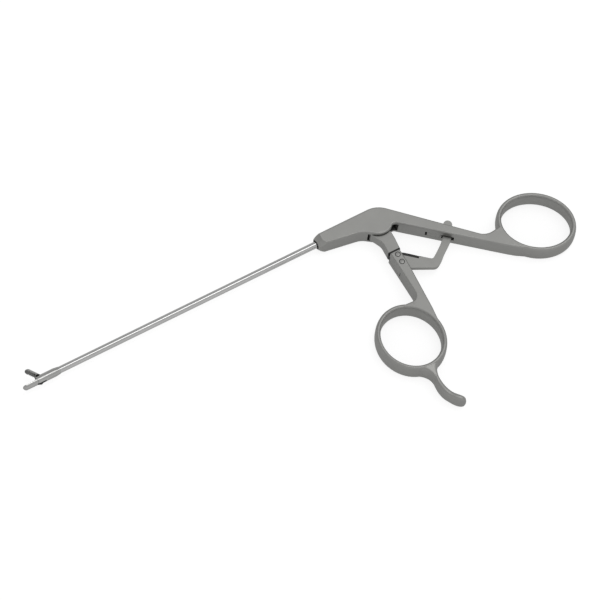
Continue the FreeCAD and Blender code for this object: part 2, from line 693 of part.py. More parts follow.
def hook_section(reached, scale=1.0):
    """Oval section of the hook at a distance along its centre line."""
    root = on_ring(LOWER_RING, 270)
    lean = max(0.0, math.degrees((reached - HOOK_NECK) / HOOK_BEND_RADIUS))
    bend_centre = root + V(HOOK_BEND_RADIUS, -HOOK_NECK, 0)
    centre = root + V(0, -reached, 0)
    if lean > 0:
        centre = bend_centre - direction(lean) * HOOK_BEND_RADIUS
    tall = V(0, 0, hook_half_height(reached) * scale)
    return oval_wire(centre, tall, direction(lean) * hook_half_width(reached) * scale)


def finger_hook():
    """Oval bar that hangs from the lower ring, bends forward and ends in a rounded tip."""
    bend_length = HOOK_BEND_RADIUS * math.radians(HOOK_BEND)
    body_end = HOOK_NECK + bend_length - HOOK_TIP_LENGTH
    wires = [hook_section(HOOK_FLARE_LENGTH * part) for part in (0, 0.14, 0.32, 0.55, 0.8)]
    wires += [hook_section(HOOK_NECK + (body_end - HOOK_NECK) * part) for part in (0, 0.33, 0.67, 1)]
    for rise in (32, 58, 75, 86):
        reached = body_end + HOOK_TIP_LENGTH * math.sin(math.radians(rise))
        wires.append(hook_section(reached, math.cos(math.radians(rise))))
    return Part.makeLoft(wires, True, False)


def fork_slot():
    """Slot between the ears of the fork, with a sloping floor."""
    floor = RATCHET_PIN.y - 3.2
    outline = [
        (FORK_FRONT - 2, FORK_TOP + 2, 0),
        (FORK_REAR + 2, FORK_TOP + 2, 0),
        (FORK_REAR + 2, floor - 1.5, 0),
        (FORK_FRONT + 1, floor, 0),
        (FORK_FRONT - 2, floor, 0),
    ]
    return plate(outline, FORK_SLOT_WIDTH / 2)


def pin_recess(centre):
    """Shallow counterbore round a pin head on the near side."""
    floor = V(centre.x, centre.y, HALF - PIN_HEAD_DEPTH)
    return Part.makeCylinder(PIN_HEAD_RADIUS + PIN_RECESS_GAP, 2, floor)


def make_ring_lever():
    """Forked finger lever with the lower ring and its hook."""
    lever = soften(ring_lever_plate(), EDGE_RADIUS, LOWER_RING)
    lever = lever.cut(ellipse_hole(LOWER_RING, -RING_WEB_INSET, HALF + 1))
    lever = lever.fuse(ring_bar(LOWER_RING))
    hook = finger_hook().cut(ellipse_hole(LOWER_RING, -0.2, HALF + 1))
    lever = lever.fuse(hook)
    for cutter in [
        fork_slot(),
        pin_along_z(FORK_PIN_RADIUS + PRESS_GAP, UPPER_PIN, HALF + 1),
        pin_along_z(FORK_PIN_RADIUS + PRESS_GAP, RATCHET_PIN, HALF + 1),
        pin_recess(UPPER_PIN),
        pin_recess(RATCHET_PIN),
    ]:
        lever = lever.cut(cutter)
    return lever


def make_fork_pin(centre):
    """Headed pin: proud domed head on the near side, flush end on the far side."""
    shank = rod_between(FORK_PIN_RADIUS, centre + V(0, 0, -HALF), centre + V(0, 0, HALF - 0.1))
    height = PIN_HEAD_DEPTH + PIN_HEAD_PROUD
    head = Part.makeCylinder(PIN_HEAD_RADIUS, height, V(centre.x, centre.y, HALF - PIN_HEAD_DEPTH))
    rim = [edge for edge in head.Edges if edge.BoundBox.ZMin > HALF]
    head = head.makeFillet(0.14, rim)
    return shank.fuse(head).removeSplitter()


def leaf_level():
    """Height of the leaf spring's front end, in the kerf of the lever's tang."""
    return UPPER_PIN.y + FORK_PIN_RADIUS + 0.45


def leaf_points():
    """Centre line of the leaf spring."""
    return [
        V(UPPER_PIN.x + 0.55, leaf_level(), 0),
        V(UPPER_PIN.x + 3, leaf_level(), 0),
        RATCHET_PIN + V(8.5, -0.35, 0),
    ]


def leaf_plate(thickness, half_width, extra):
    """Strip that follows the leaf's centre line."""
    first, bend, last = leaf_points()
    along = last - bend
    along.normalize()
    side = V(-along.y, along.x, 0) * (thickness / 2)
    last = last + along * extra
    up = V(0, thickness / 2, 0)
    outline = [
        corner(first + up),
        corner(bend + up + V(0.06, 0, 0), 1.2),
        corner(last + side),
        corner(last - side),
        corner(bend - up - V(0.06, 0, 0), 0.9),
        corner(first - up),
    ]
    return plate(outline, half_width)


def make_leaf_spring():
    """Thin leaf that lifts the ratchet arm towards its insert."""
    return leaf_plate(LEAF_THICKNESS, LEAF_WIDTH / 2, 0)


def ring_sector(inner, outer, start, end, half):
    """Arc-shaped plate about the lever pivot."""
    middle = (start + end) / 2
    edges = [
        Part.Arc(PIVOT + direction(start) * outer, PIVOT + direction(middle) * outer,
                 PIVOT + direction(end) * outer).toShape(),
        Part.LineSegment(PIVOT + direction(end) * outer, PIVOT + direction(end) * inner).toShape(),
        Part.Arc(PIVOT + direction(end) * inner, PIVOT + direction(middle) * inner,
                 PIVOT + direction(start) * inner).toShape(),
        Part.LineSegment(PIVOT + direction(start) * inner, PIVOT + direction(start) * outer).toShape(),
    ]
    face = Part.Face(Part.Wire(edges))
    face.translate(V(0, 0, -half))
    return face.extrude(V(0, 0, 2 * half))


def ratchet_base_plate(half):
    """Base of the ratchet arm from its pivot to the elbow, trimmed to the outer arc."""
    notch = RATCHET_PIN + V(8.4, 0.1, 0)
    heel = RATCHET_PIN + V(-0.8, -1.0, 0)
    below = direction(-RATCHET_BOTTOM_SLOPE)
    inner_corner = notch + ARM_ALONG * way_to_circle(notch, ARM_ALONG, RATCHET_INNER)
    outer_corner = heel + below * way_to_circle(heel, below, RATCHET_OUTER)
    base = plate([
        corner(RATCHET_PIN + V(0.25, 1.25, 0)),
        corner(RATCHET_PIN + V(1.92, 1.25, 0)),
        corner(RATCHET_PIN + V(1.92, 3.55, 0), 0.4),
        corner(RATCHET_PIN + V(2.8, 3.45, 0), 0.5),
        corner(RATCHET_PIN + V(7.6, -0.75, 0), 0.2),
        corner(RATCHET_PIN + V(8.1, -0.25, 0)),
        corner(notch, 0.3),
        corner(inner_corner + ARM_ALONG * 2),
        corner(outer_corner + below * 3),
        corner(heel, 0.4),
        corner(RATCHET_PIN + V(-1, 0, 0)),
    ], half)
    return base.common(pin_along_z(RATCHET_OUTER, PIVOT, half)), inner_corner, outer_corner


def round_upright(solid, place, radius):
    """Round the one upright edge of a plate that stands at a place."""
    flat = V(1, 1, 0)
    found = []
    for edge in solid.Edges:
        middle = edge.BoundBox.Center
        offset = V(middle.x * flat.x - place.x, middle.y * flat.y - place.y, 0)
        if edge.BoundBox.ZLength > 1 and offset.Length < 0.01:
            found.append(edge)
    return solid.makeFillet(radius, found)


def make_ratchet_arm():
    """Toothed arc about the lever pivot, with a pivoted base and a thumb tab."""
    half = RATCHET_THICKNESS / 2
    base, inner_corner, outer_corner = ratchet_base_plate(half)
    elbow = (inner_corner + outer_corner) * 0.5 - PIVOT
    elbow_angle = math.degrees(math.atan2(elbow.y, elbow.x))
    arc = ring_sector(RATCHET_INNER, RATCHET_OUTER, elbow_angle, RATCHET_TIP_ANGLE, half)
    tab_at = PIVOT + direction(RATCHET_TIP_ANGLE) * (RATCHET_OUTER - RATCHET_WIDTH / 2)
    tab = pin_along_z(RATCHET_WIDTH / 2, tab_at, half)
    boss = pin_along_z(1.3, RATCHET_PIN, half)
    arm = base.fuse([boss, arc, tab]).removeSplitter()
    arm = round_upright(arm, inner_corner, RATCHET_INNER_CORNER)
    arm = round_upright(arm, outer_corner, RATCHET_OUTER_CORNER)
    for i in range(RATCHET_TEETH):
        arm = arm.cut(ratchet_tooth_gap(RATCHET_FIRST_TOOTH - i * RATCHET_TOOTH_STEP))
    kerf_room = Part.makeBox(4, 4, 4, leaf_points()[2] + V(-0.95, -1.75, -2))
    kerf = leaf_plate(LEAF_THICKNESS + 2 * RUNNING_GAP, half + 1, 0.1).common(kerf_room)
    arm = arm.cut(kerf)
    return arm.cut(pin_along_z(FORK_PIN_RADIUS + RUNNING_GAP, RATCHET_PIN, HALF))


def ratchet_tooth_gap(angle):
    """Saw-tooth notch in the inner edge of the ratchet arc."""
    outer_end = RATCHET_INNER + RATCHET_TOOTH_DEPTH
    points = [
        PIVOT + direction(angle) * (RATCHET_INNER - 0.05),
        PIVOT + direction(angle) * outer_end,
        PIVOT + direction(angle - RATCHET_TOOTH_STEP * 0.9) * (RATCHET_INNER - 0.05),
    ]
    face = Part.Face(Part.makePolygon(points + [points[0]]))
    face.translate(V(0, 0, -3))
    return face.extrude(V(0, 0, 6))


def make_ratchet_insert():
    """Hard block that fills the front of the arm's slot and carries the catch."""
    window = ratchet_slot(SLOT_START + INSERT_SETBACK, SLOT_END, RATCHET_SLOT_WIDTH - 2 * SLIDING_GAP)
    block = handle_plate().common(window)
    block = block.common(pin_along_z(RATCHET_INNER - INSERT_RELIEF, PIVOT, HALF + 1))
    angle = RATCHET_FIRST_TOOTH + 1.0
    points = [
        PIVOT + direction(angle + 0.3) * (RATCHET_INNER - CATCH_HEIGHT),
        PIVOT + direction(angle) * (RATCHET_INNER - FREE_GAP),
        PIVOT + direction(angle - 1.6) * (RATCHET_INNER - CATCH_HEIGHT),
    ]
    nib_face = Part.Face(Part.makePolygon(points + [points[0]]))
    nib_half = RATCHET_THICKNESS / 2
    nib_face.translate(V(0, 0, -nib_half))
    block = block.fuse(nib_face.extrude(V(0, 0, 2 * nib_half)))
    return block.cut(pin_along_z(INSERT_PIN_RADIUS + PRESS_GAP, insert_pin_at(), HALF))


NODES = {
    "handle_body": make_handle_body,
    "shaft_tube": make_shaft_tube,
    "shaft_lock_pin": lambda: blind_pin(LOCK_PIN_RADIUS, lock_pin_at()),
    "jaw_housing": make_jaw_housing,
    "jaw_pivot_pin": make_jaw_pivot_pin,
    "upper_jaw": make_upper_jaw,
    "jaw_drive_pin": make_jaw_drive_pin,
    "drive_rod": make_drive_rod,
    "rod_yoke": make_rod_yoke,
    "yoke_dowel": lambda: pin_along_z(DOWEL_RADIUS, yoke_dowel_at(), YOKE_WIDTH / 2),
    "drive_lever": make_drive_lever,
    "lever_drive_pin": make_lever_drive_pin,
    "lever_pivot_pin": make_lever_pivot_pin,
    "ring_lever": make_ring_lever,
    "fork_upper_pin": lambda: make_fork_pin(UPPER_PIN),
    "ratchet_pivot_pin": lambda: make_fork_pin(RATCHET_PIN),
    "ratchet_arm": make_ratchet_arm,
    "leaf_spring": make_leaf_spring,
    "ratchet_insert": make_ratchet_insert,
    "insert_pin": lambda: blind_pin(INSERT_PIN_RADIUS, insert_pin_at()),
}


def main():
    """Build every piece and write one STEP file for each."""
    os.makedirs("parts", exist_ok=True)
    for name, make in NODES.items():
        shape = make()
        shape.translate(-ORIGIN_AT)
        shape.exportStep(os.path.join("parts", name + ".step"))


if __name__ == "__main__":
    main()
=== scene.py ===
"""Studio scene of a ring-handled arthroscopic grasper lying on its side on a pale floor."""
import logging
import math
from dataclasses import dataclass, replace
from enum import Enum
from typing import ClassVar, Sequence

import bpy
import numpy as np
from mathutils import Matrix, Vector


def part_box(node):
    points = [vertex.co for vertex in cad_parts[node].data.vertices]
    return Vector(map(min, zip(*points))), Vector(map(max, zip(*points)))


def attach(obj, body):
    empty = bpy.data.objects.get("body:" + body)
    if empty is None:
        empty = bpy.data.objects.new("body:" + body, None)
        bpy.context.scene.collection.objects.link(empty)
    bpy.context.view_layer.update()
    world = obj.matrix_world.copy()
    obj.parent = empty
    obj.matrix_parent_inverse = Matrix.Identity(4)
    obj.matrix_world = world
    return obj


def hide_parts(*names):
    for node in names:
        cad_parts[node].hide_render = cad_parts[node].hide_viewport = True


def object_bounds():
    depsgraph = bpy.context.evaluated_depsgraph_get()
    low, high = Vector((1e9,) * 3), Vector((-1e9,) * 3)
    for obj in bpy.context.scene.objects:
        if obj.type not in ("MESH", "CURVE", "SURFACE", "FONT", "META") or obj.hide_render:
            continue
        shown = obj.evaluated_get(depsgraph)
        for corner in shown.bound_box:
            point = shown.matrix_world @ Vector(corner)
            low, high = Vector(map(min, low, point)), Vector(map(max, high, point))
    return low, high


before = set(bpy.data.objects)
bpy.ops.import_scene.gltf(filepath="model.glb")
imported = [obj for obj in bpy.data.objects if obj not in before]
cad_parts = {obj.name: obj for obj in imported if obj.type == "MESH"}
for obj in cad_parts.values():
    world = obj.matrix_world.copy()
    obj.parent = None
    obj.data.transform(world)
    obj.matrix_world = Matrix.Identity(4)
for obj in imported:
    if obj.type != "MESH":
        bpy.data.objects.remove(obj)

MM = 0.001
CAD_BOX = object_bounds()
LOG = logging.getLogger("grasper")

Triple = tuple[float, float, float]
Array = np.ndarray
Piece = bpy.types.Object
Node = bpy.types.Node
Socket = bpy.types.NodeSocket
Tree = bpy.types.NodeTree


class Slot(Enum):
    """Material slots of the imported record."""

    SATIN = "satin_steel"
    TUBE = "polished_tube"
    JAW = "jaw_steel"
    PIN = "pin_steel"
    SPRING = "spring_steel"


class Body(Enum):
    """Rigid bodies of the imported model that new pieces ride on."""

    FIXED = "fixed_handle"
    LEVER = "finger_lever"
    JAW = "hinged_jaw"
    RATCHET = "ratchet"


class GrainAxis(Enum):
    """How a finish's fine grain runs: the same all ways, or drawn out along the shaft."""

    BLASTED = (1.0, 1.0, 1.0)
    ALONG_X = (0.02, 1.0, 1.0)


class Crease(Enum):
    """Degrees past which an edge stays sharp: on copies of nodes, and on new pieces."""

    COPIED = 38.0
    CRISP = 40.0
    SOFT = 50.0


@dataclass(frozen=True)
class Graph:
    """Shader node tree, put together from its sources to its output."""

    tree: Tree

    def feed(self, socket: Socket, value: object) -> None:
        """Links an input to the socket that feeds it, or sets its value."""
        if isinstance(value, Socket):
            self.tree.links.new(value, socket)
        else:
            socket.default_value = value

    def add(self, kind: str, inputs: dict[str | int, object], **settings: object) -> Node:
        """Adds a node.

        Args:
            kind: the node's type, without the prefix that all of them share.
            inputs: name or number of each input to its value, or to the socket that feeds it.
            settings: the node's own properties.

        Returns:
            The new node.
        """
        made = self.tree.nodes.new("ShaderNode" + kind)
        for name, value in settings.items():
            setattr(made, name, value)
        for label, value in inputs.items():
            self.feed(made.inputs[label], value)
        return made

    def math(self, operation: str, *values: object) -> Socket:
        """Output of a math node whose inputs are sockets or numbers."""
        return self.add("Math", dict(enumerate(values)), operation=operation).outputs[0]

    def remap(self, inputs: dict[str, object], curve: str = "LINEAR") -> Socket:
        """Output of a map-range node, from 0..1 to 0..1 but for what the inputs name."""
        return self.add("MapRange", inputs, interpolation_type=curve).outputs["Result"]

    def dot(self, first: object, second: object) -> Socket:
        """Dot product of two vectors."""
        return self.add("VectorMath", {0: first, 1: second},
                        operation="DOT_PRODUCT").outputs["Value"]

    def scaled(self, colour: object, share: object) -> Socket:
        """A colour times a number."""
        return self.add("VectorMath", {0: colour, "Scale": share},
                        operation="SCALE").outputs["Vector"]


class ShaderGroups:
    """Shader node groups that every steel finish shares, each built once."""

    COARSE_SHARE = 0.04
    DRIFT_SCALE = 90.0
    SHADE_EASE = 0.15 * MM

    def __init__(self) -> None:
        """Builds each group."""
        self.grain = self._grain()
        self.tone = self._tone()
        self.edge = self._edge()
        self.recess = self._painted_recess_shade()
        self.painted_side_shade = self._painted_side_shade()

    @staticmethod
    def _start(name: str, inputs: dict[str, str], outputs: dict[str, str]
               ) -> tuple[Graph, Node, Node]:
        """Makes an empty group from the kinds of its sockets, by name.

        Returns:
            The group's graph, its input node and its output node.
        """
        tree = bpy.data.node_groups.new(name, "ShaderNodeTree")
        for side, sockets in (("INPUT", inputs), ("OUTPUT", outputs)):
            for label, kind in sockets.items():
                tree.interface.new_socket(
                    name=label, in_out=side, socket_type="NodeSocket" + kind)
        return Graph(tree), tree.nodes.new("NodeGroupInput"), tree.nodes.new("NodeGroupOutput")

    def _grain(self) -> Tree:
        """Fine blasted or drawn grain as height; with a coarse octave, also as roughness."""
        graph, source, sink = self._start(
            "steel grain",
            {"Vector": "Vector", "Grain size": "Float", "Roughness": "Float", "Spread": "Float"},
            {"Height": "Float", "Roughness": "Float"})
        given = source.outputs
        scale = graph.math("DIVIDE", 1.0, given["Grain size"])
        fine = graph.add("TexNoise", {
            "Vector": given["Vector"], "Scale": scale, "Detail": 3.0, "Roughness": 0.6})
        coarse = graph.add("TexNoise", {
            "Vector": given["Vector"], "Scale": graph.math("MULTIPLY", scale, self.COARSE_SHARE),
            "Detail": 2.0})
        both = graph.math("ADD", fine.outputs["Fac"], coarse.outputs["Fac"])
        shift = graph.math("MULTIPLY", graph.math("SUBTRACT", both, 1.0), given["Spread"])
        graph.feed(sink.inputs["Height"], fine.outputs["Fac"])
        graph.feed(sink.inputs["Roughness"], graph.math("ADD", given["Roughness"], shift))
        return graph.tree

    def _tone(self) -> Tree:
        """Slow drift of tone over a face, such as handling and cleaning leave."""
        graph, source, sink = self._start(
            "steel tone", {"Vector": "Vector", "Clean": "Color", "Shade": "Color"},
            {"Colour": "Color"})
        drift = graph.add("TexNoise", {
            "Vector": source.outputs["Vector"], "Scale": self.DRIFT_SCALE,
            "Detail": 5.0, "Roughness": 0.55})
        spread = graph.remap({"Value": drift.outputs["Fac"], "From Min": 0.35, "From Max": 0.7})
        mix = graph.add("Mix", {}, data_type="RGBA")
        factor, clean, shade, mixed = mix.inputs[0], mix.inputs[6], mix.inputs[7], mix.outputs[2]
        graph.feed(factor, spread)
        graph.feed(clean, source.outputs["Clean"])
        graph.feed(shade, source.outputs["Shade"])
        graph.feed(sink.inputs["Colour"], mixed)
        return graph.tree

    def _edge(self) -> Tree:
        """Brighter line along edges: where a rounded normal leaves the face's own."""
        graph, source, sink = self._start(
            "edge glint", {"Colour": "Color", "Width": "Float", "Gain": "Float"},
            {"Colour": "Color"})
        bevel = graph.add("Bevel", {"Radius": source.outputs["Width"]}, samples=4)
        face = graph.add("NewGeometry", {})
        turn = graph.math("SUBTRACT", 1.0,
                          graph.dot(bevel.outputs["Normal"], face.outputs["Normal"]))
        mask = graph.remap({"Value": turn, "From Min": 0.02, "From Max": 0.25})
        gain = graph.math("ADD", graph.math("MULTIPLY", mask, source.outputs["Gain"]), 1.0)
        graph.feed(sink.inputs["Colour"], graph.scaled(source.outputs["Colour"], gain))
        return graph.tree

    def _painted_recess_shade(self) -> Tree:
        """Painted shade that darkens the colour in pockets and slots, and in narrow seams."""
        graph, source, sink = self._start(
            "painted recess shade",
            {"Colour": "Color", "Reach": "Float", "Tone": "Float",
             "Seam reach": "Float", "Seam tone": "Float"},
            {"Colour": "Color"})
        shares = []
        for reach, tone, shut, clear in (("Reach", "Tone", 0.12, 0.62),
                                         ("Seam reach", "Seam tone", 0.42, 0.9)):
            sky = graph.add("AmbientOcclusion", {"Distance": source.outputs[reach]}, samples=8)
            shares.append(graph.remap({
                "Value": sky.outputs["AO"], "From Min": shut, "From Max": clear,
                "To Min": source.outputs[tone]}, "SMOOTHSTEP"))
        graph.feed(sink.inputs["Colour"], graph.scaled(
            source.outputs["Colour"], graph.math("MULTIPLY", *shares)))
        return graph.tree

    def _painted_side_shade(self) -> Tree:
        """Painted shade on a face or end: the colour darkens from a start, over a span, one way.
        """
        graph, source, sink = self._start(
            "painted side shade",
            {"Colour": "Color", "Vector": "Vector", "Side": "Vector",
             "Start": "Float", "Span": "Float", "Tone": "Float"},
            {"Colour": "Color"})
        given = source.outputs
        past = graph.math("SUBTRACT", graph.dot(given["Vector"], given["Side"]), given["Start"])
        ahead = graph.math("DIVIDE", past, self.SHADE_EASE)
        behind = graph.math("DIVIDE", graph.math("SUBTRACT", given["Span"], past), self.SHADE_EASE)
        share = graph.remap({"Value": graph.math("MINIMUM", ahead, behind),
                             "To Min": 1.0, "To Max": given["Tone"]}, "SMOOTHSTEP")
        graph.feed(sink.inputs["Colour"], graph.scaled(given["Colour"], share))
        return graph.tree


@dataclass(frozen=True)
class SteelFinish:
    """One way that stainless steel is finished on the instrument.

    Attributes:
        name: material name.
        slot: the record's slot for a new piece in this finish; not used.
        colour: linear colour of the clean face.
        shade: linear colour that slow variation leans towards.
        roughness: middle roughness.
        roughness_spread: how far the grain moves the roughness either way.
        grain_size: size of one grain in millimetres.
        grain_depth: height of the grain in millimetres.
        grain: how the grain runs.
        edge_width: width in millimetres of the brighter line on edges.
        edge_gain: how much brighter the edges are than the face.
        recess_reach: millimetres over which painted shade darkens a recess or a slot.
        recess_tone: how bright the deepest recess stays under the painted shade, against the
            face.
        seam_reach: the same for narrow seams.
        seam_tone: how bright a narrow seam stays.
        grazing: colour of the metal seen at a grazing angle.
        shade_side: direction towards the end or face that holds painted shade, or none.
        shade_start: how far along it the painted shade starts, in millimetres.
        shade_span: how far the painted shade reaches from there, in millimetres.
        shade_tone: how bright the painted shade leaves the steel.
    """

    name: str
    slot: Slot
    colour: Triple
    shade: Triple
    roughness: float
    roughness_spread: float
    grain_size: float
    grain_depth: float
    grain: GrainAxis = GrainAxis.BLASTED
    edge_width: float = 0.12
    edge_gain: float = 0.3
    recess_reach: float = 2.4
    recess_tone: float = 0.16
    seam_reach: float = 0.8
    seam_tone: float = 0.12
    grazing: Triple = (0.85, 0.85, 0.85)
    shade_side: Triple | None = None
    shade_start: float = 0.0
    shade_span: float = 8.0
    shade_tone: float = 0.33

    def material(self, groups: ShaderGroups) -> bpy.types.Material:
        """Builds the finish as a node material.

        Args:
            groups: the shared shader groups.

        Returns:
            The finished material.
        """
        made = bpy.data.materials.new(self.name)
        made.use_nodes = True
        made.node_tree.nodes.clear()
        graph = Graph(made.node_tree)
        place = graph.add("TexCoord", {}).outputs["Object"]
        drawn = graph.add("Mapping", {"Vector": place, "Scale": self.grain.value})
        grain = graph.add("Group", {
            "Vector": drawn.outputs["Vector"], "Grain size": self.grain_size * MM,
            "Roughness": self.roughness, "Spread": self.roughness_spread,
        }, node_tree=groups.grain)
        colour = graph.add("Group", {
            "Vector": place, "Clean": (*self.colour, 1.0), "Shade": (*self.shade, 1.0),
        }, node_tree=groups.tone).outputs["Colour"]
        colour = graph.add("Group", {
            "Colour": colour, "Width": self.edge_width * MM, "Gain": self.edge_gain,
        }, node_tree=groups.edge).outputs["Colour"]
        # Painted shade: darkens the colour in recesses, slots and narrow seams.
        colour = graph.add("Group", {
            "Colour": colour, "Reach": self.recess_reach * MM, "Tone": self.recess_tone,
            "Seam reach": self.seam_reach * MM, "Seam tone": self.seam_tone,
        }, node_tree=groups.recess).outputs["Colour"]
        # Painted shade along one side of the piece, where the finish asks for it.
        if self.shade_side is not None:
            colour = graph.add("Group", {
                "Colour": colour, "Vector": place, "Side": self.shade_side,
                "Start": self.shade_start * MM, "Span": self.shade_span * MM,
                "Tone": self.shade_tone,
            }, node_tree=groups.painted_side_shade).outputs["Colour"]
        bump = graph.add("Bump", {
            "Height": grain.outputs["Height"], "Distance": self.grain_depth * MM,
            "Strength": 1.0})
        metal = graph.add("BsdfPrincipled", {
            "Base Color": colour, "Metallic": 1.0, "Roughness": grain.outputs["Roughness"],
            "Specular Tint": (*self.grazing, 1.0), "Normal": bump.outputs["Normal"]})
        graph.add("OutputMaterial", {"Surface": metal.outputs["BSDF"]})
        return made


SATIN = SteelFinish("satin_handle_steel", Slot.SATIN, (0.362, 0.362, 0.349),
                    (0.338, 0.338, 0.326), 0.45, 0.06, 0.07, 0.003, edge_width=0.3,
                    edge_gain=0.12)
# Painted shade: a dark band on the drive lever's face where the fork's end meets it.
LEVER_STEEL = replace(SATIN, name="drive_lever_steel", shade_side=(0.0, -1.0, 0.0),
                      shade_start=17.45, shade_span=1.9, shade_tone=0.1)
TUBE = SteelFinish("polished_tube_steel", Slot.TUBE, (0.56, 0.56, 0.555),
                   (0.53, 0.53, 0.525), 0.17, 0.04, 0.15, 0.0008, GrainAxis.ALONG_X, 0.1, 0.1)
JAW = SteelFinish("jaw_steel", Slot.JAW, (0.49, 0.49, 0.48), (0.42, 0.42, 0.412),
                  0.26, 0.06, 0.08, 0.002, recess_reach=2.6, recess_tone=0.04)
# Painted shade: the toothed jaw is darkened on the mouth side of a plane across it, and its
# recess shade reaches further and deeper.
TOOTHED = SteelFinish("toothed_jaw_steel", Slot.JAW, (0.44, 0.44, 0.43), (0.34, 0.34, 0.332),
                      0.3, 0.07, 0.08, 0.002, recess_reach=3.0, recess_tone=0.05,
                      shade_side=(-0.8387, -0.5446, 0.0), shade_start=115.57)
PIN = SteelFinish("pin_steel", Slot.PIN, (0.33, 0.33, 0.318), (0.30, 0.30, 0.29),
                  0.42, 0.06, 0.08, 0.002, edge_gain=0.2)
# The leaf's dark colour is painted shade, standing in for the shade on the leaf's underside.
SPRING = SteelFinish("spring_leaf_steel", Slot.SPRING, (0.16, 0.16, 0.158),
                     (0.13, 0.13, 0.128), 0.38, 0.06, 0.08, 0.001, GrainAxis.ALONG_X, 0.05, 0.1)


class Wardrobe:
    """Makes each finish once and puts it on CAD nodes and new pieces."""

    def __init__(self) -> None:
        """Builds the shared groups."""
        self.groups = ShaderGroups()
        self.made: dict[str, bpy.types.Material] = {}

    def dress(self, piece: Piece, finish: SteelFinish) -> Piece:
        """Gives a piece its finish, made on first use, and hands the piece back."""
        if finish.name not in self.made:
            self.made[finish.name] = finish.material(self.groups)
        if not piece.material_slots:
            piece.data.materials.append(None)
        for entry in piece.material_slots:
            entry.material = self.made[finish.name]
        return piece


class Surface:
    """Grids of points and faces, worked out with numpy, for closed meshes."""

    UP = np.array([0.0, 0.0, 1.0])

    @staticmethod
    def arc(centre: tuple[float, float], radius: float, start: float, end: float,
            count: int = 7) -> Array:
        """Points centre + radius (cos t, sin t) for t from start to end, in degrees."""
        turn = np.radians(np.linspace(start, end, count))
        return np.stack([centre[0] + radius * np.cos(turn),
                         centre[1] + radius * np.sin(turn)], axis=1)

    @staticmethod
    def band(rows: int, around: int, close_rows: bool) -> Array:
        """Quads of a grid that closes round its second index, and round its first if asked."""
        last = rows if close_rows else rows - 1
        row = np.repeat(np.arange(last), around)
        turn = np.tile(np.arange(around), last)
        above, beside = (row + 1) % rows, (turn + 1) % around
        return np.stack([row * around + turn, row * around + beside,
                         above * around + beside, above * around + turn], axis=1)

    @classmethod
    def closed_bar(cls, rows: int, around: int) -> list[Array]:
        """Faces of a bar: its band and one polygon on each end, all facing outwards."""
        ring = np.arange(around)
        return [cls.band(rows, around, False), ring[::-1][None],
                (ring + (rows - 1) * around)[None]]

    @staticmethod
    def lathe(profile: Array, along: Vector, base: Vector, around: int) -> Array:
        """Grid of a turned form.

        Point (i, j) is base + height i along the axis + radius i times the unit circle at
        angle 2 pi j / around, in the two directions across the axis.

        Args:
            profile: rows of (height, radius).
            along: unit axis.
            base: point on the axis at height nought.
            around: points round the axis.

        Returns:
            Points in rows, one profile point after another.
        """
        axis = np.array(along)
        first = np.array(along.orthogonal().normalized())
        second = np.cross(axis, first)
        turn = 2 * np.pi * np.arange(around) / around
        circle = np.cos(turn)[:, None] * first + np.sin(turn)[:, None] * second
        grid = profile[:, 0][:, None, None] * axis + profile[:, 1][:, None, None] * circle[None]
        return (grid + np.array(base)).reshape(-1, 3)

    @classmethod
    def oval_bar(cls, centres: Array, sides: Array, half: Array,
                 squareness: Array, around: int) -> Array:
        """Grid of an upright bar carried along a level path.

        Section point j is side times a |cos t|^(2/n) + up times b |sin t|^(2/n) with the signs
        kept, where n is the squareness: 2 is an ellipse and 8 nearly a rectangle.

        Args:
            centres: points of the path.
            sides: unit vectors across the path, one a point.
            half: half sizes a and b, one row a point.
            squareness: the exponent n, one a point.
            around: points round the section.

        Returns:
            Points in rows, one path point after another.
        """
        turn = 2 * np.pi * np.arange(around) / around
        power = (2 / squareness)[:, None]
        across = half[:, :1] * np.sign(np.cos(turn)) * np.abs(np.cos(turn)) ** power
        upward = half[:, 1:] * np.sign(np.sin(turn)) * np.abs(np.sin(turn)) ** power
        grid = centres[:, None] + across[..., None] * sides[:, None] + upward[..., None] * cls.UP
        return grid.reshape(-1, 3)


def squared(across: Array, height: Array, exponent: Array | float) -> Array:
    """Factor that carries an oval's points onto a squarer oval of the same half sizes.

    With c and s the cosine and sine of the point's angle it is (|c|^n + |s|^n)^(-1/n).

    Args:
        across: distance across the bar over its half width.
        height: distance up the bar over its half height.
        exponent: the n of the formula; 2 leaves the oval as it is.

    Returns:
        One factor a point.
    """
    reach = np.maximum(np.hypot(across, height), 1e-9)
    cosine, sine = np.abs(across) / reach, np.abs(height) / reach
    return (cosine ** exponent + sine ** exponent) ** (-1 / exponent)


def eased(share: Array) -> Array:
    """Smooth step of a share u, clipped to 0..1: u^2 (3 - 2u)."""
    kept = np.clip(share, 0, 1)
    return kept ** 2 * (3 - 2 * kept)


class Reform:
    """Dressing of one form of a CAD node by moving its points."""

    def reform(self, places: Array) -> Array:
        """Moves the points that belong to the form.

        Args:
            places: all points in millimetres, one row each.

        Returns:
            All points after the move.
        """
        raise NotImplementedError


